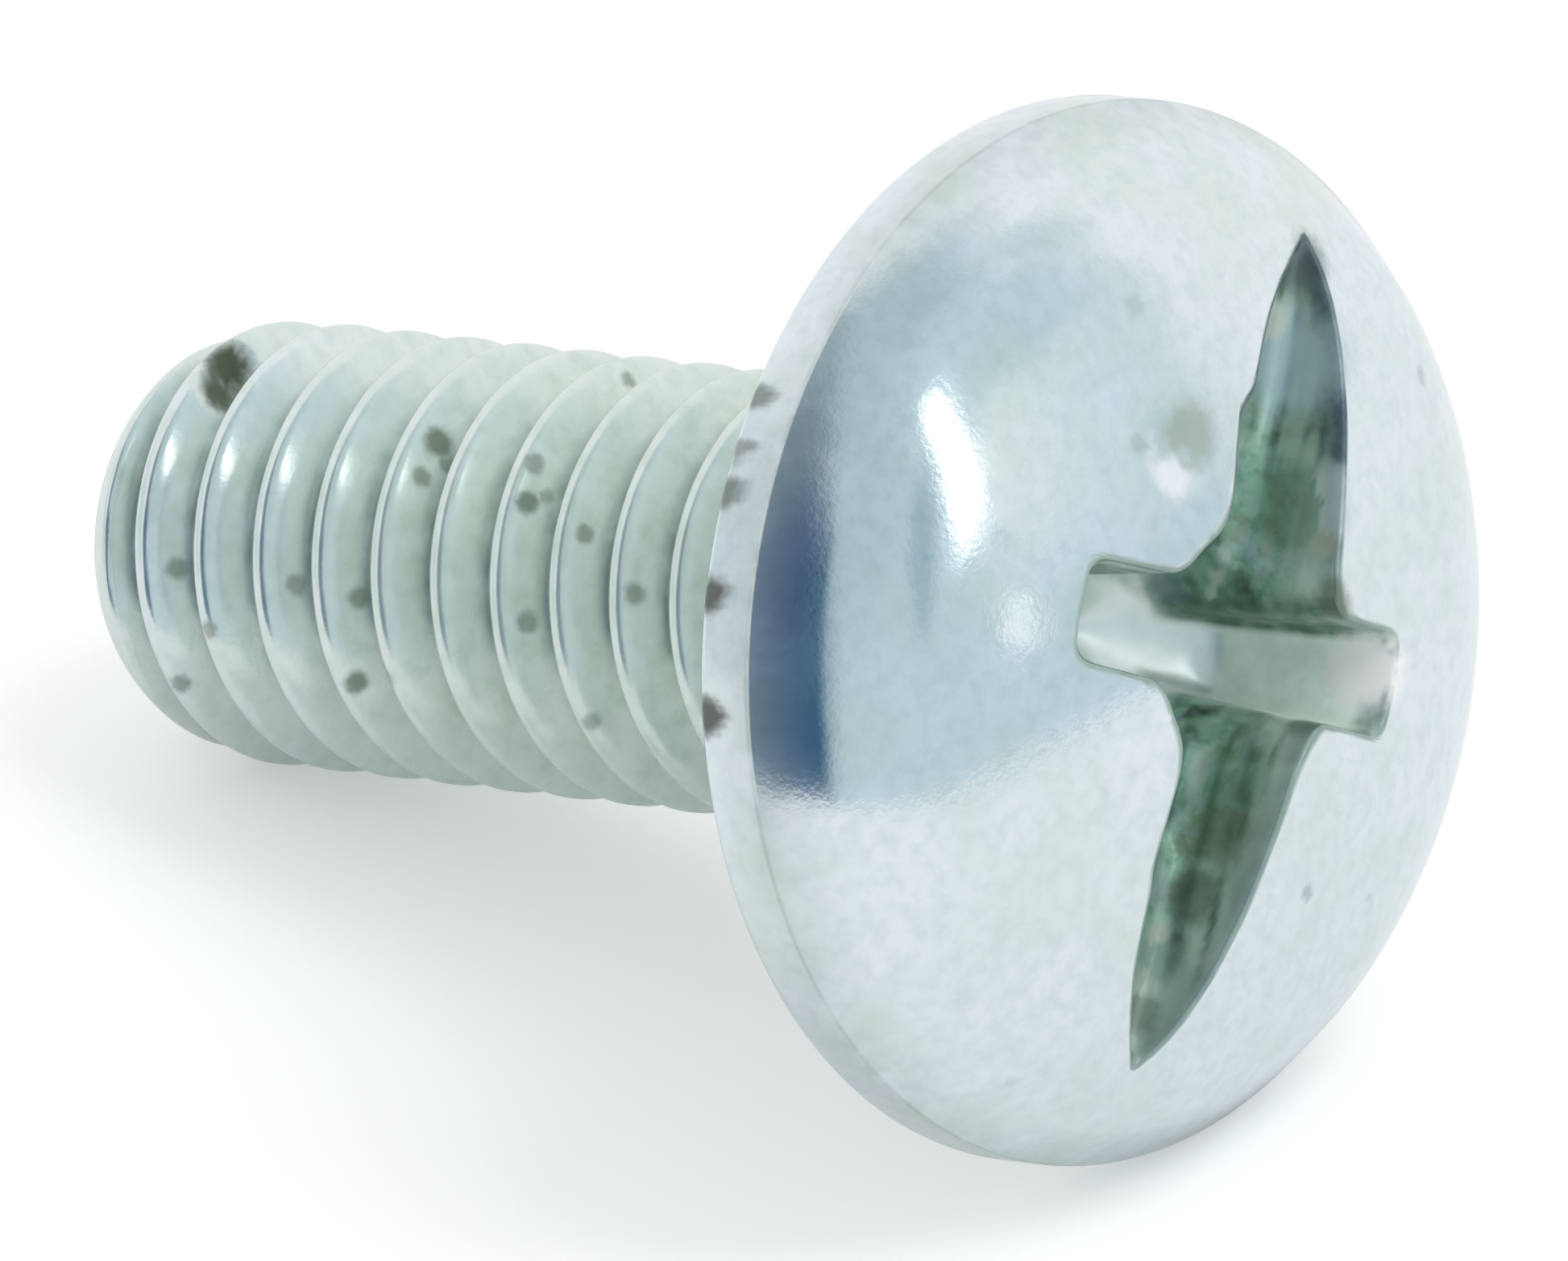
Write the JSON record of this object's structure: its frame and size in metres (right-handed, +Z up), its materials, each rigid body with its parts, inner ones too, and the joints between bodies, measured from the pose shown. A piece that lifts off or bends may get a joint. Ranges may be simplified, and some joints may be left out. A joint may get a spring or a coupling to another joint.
{
  "type": "truss head machine screw",
  "caption": "Zinc-plated steel machine screw with a wide low domed head, a combined slot and cross recess, and a thread that runs up to the head, for fastening sheet or fittings.",
  "frame": {"origin": "middle of the bounding box's underside, on the surface that the screw lies on", "axes": "+X towards the head along the screw's length, +Y across the head, +Z up; the screw's own axis lies in the XZ plane and rises about 16 degrees towards the head"},
  "size_m": [0.0126, 0.0092, 0.009],
  "materials": {
    "bright_zinc_plate": "bright zinc plate over steel, satin, lightly soiled in the recess"
  },
  "bodies": {
    "root": {"truss_screw": "bright_zinc_plate"}
  },
  "joints": []
}
